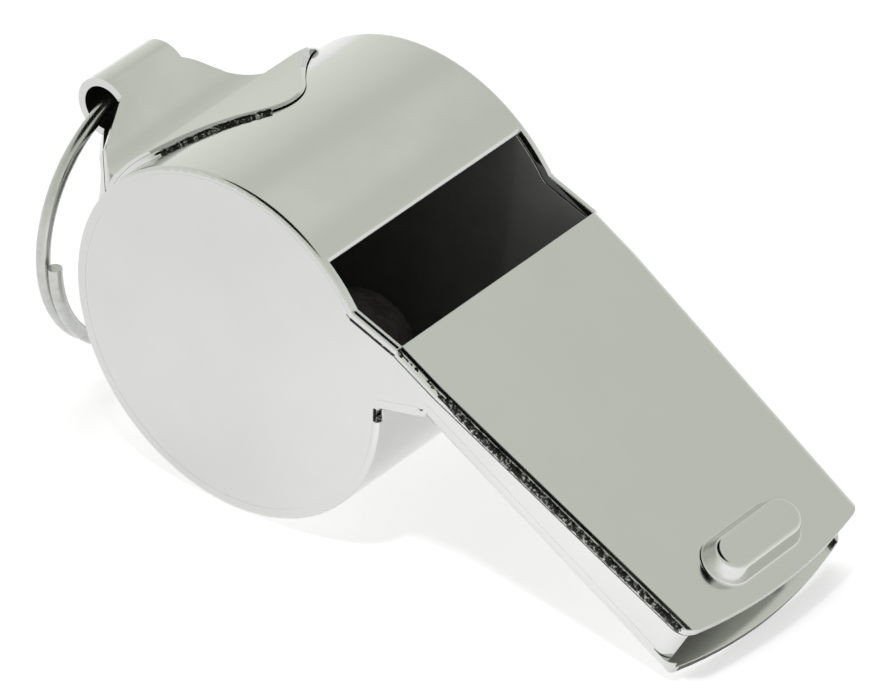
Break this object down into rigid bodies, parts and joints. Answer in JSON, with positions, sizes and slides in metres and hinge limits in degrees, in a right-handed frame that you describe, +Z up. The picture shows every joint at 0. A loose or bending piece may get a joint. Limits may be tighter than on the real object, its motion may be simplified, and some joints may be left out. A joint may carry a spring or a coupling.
{
  "type": "sports whistle",
  "caption": "Sheet-metal pea whistle with a drum-shaped chamber, a sound window, a flat tapering mouthpiece with a tooth bead, and a split ring hanging from a folded lanyard lug.",
  "frame": {"origin": "on the surface that the whistle stands on, below the middle of its box", "axes": "+X from the lanyard ring to the mouth, +Y along the barrel's axis towards the left side plate, +Z up"},
  "size_m": [0.0484, 0.018, 0.022],
  "materials": {
    "nickel_plate": "polished",
    "steel_wire": "polished",
    "cork": "matte"
  },
  "bodies": {
    "whistle_body": {"top_strip": "nickel_plate", "left_side_plate": "nickel_plate", "right_side_plate": "nickel_plate", "mouthpiece_floor": "nickel_plate", "lanyard_lug": "nickel_plate"},
    "ring": {"split_ring": "steel_wire"},
    "loose_pea": {"pea": "cork"}
  },
  "joints": [
    {"name": "ring_swing", "type": "hinge", "parent": "whistle_body", "child": "ring", "pos_m": [-0.02234, 0, 0.01813], "axis": [0, 1, 0], "range_deg": [-8, 241]},
    {"name": "pea_orbit", "type": "hinge", "parent": "whistle_body", "child": "loose_pea", "pos_m": [-0.0083, 0, 0.011], "axis": [0, 1, 0], "continuous": true}
  ]
}
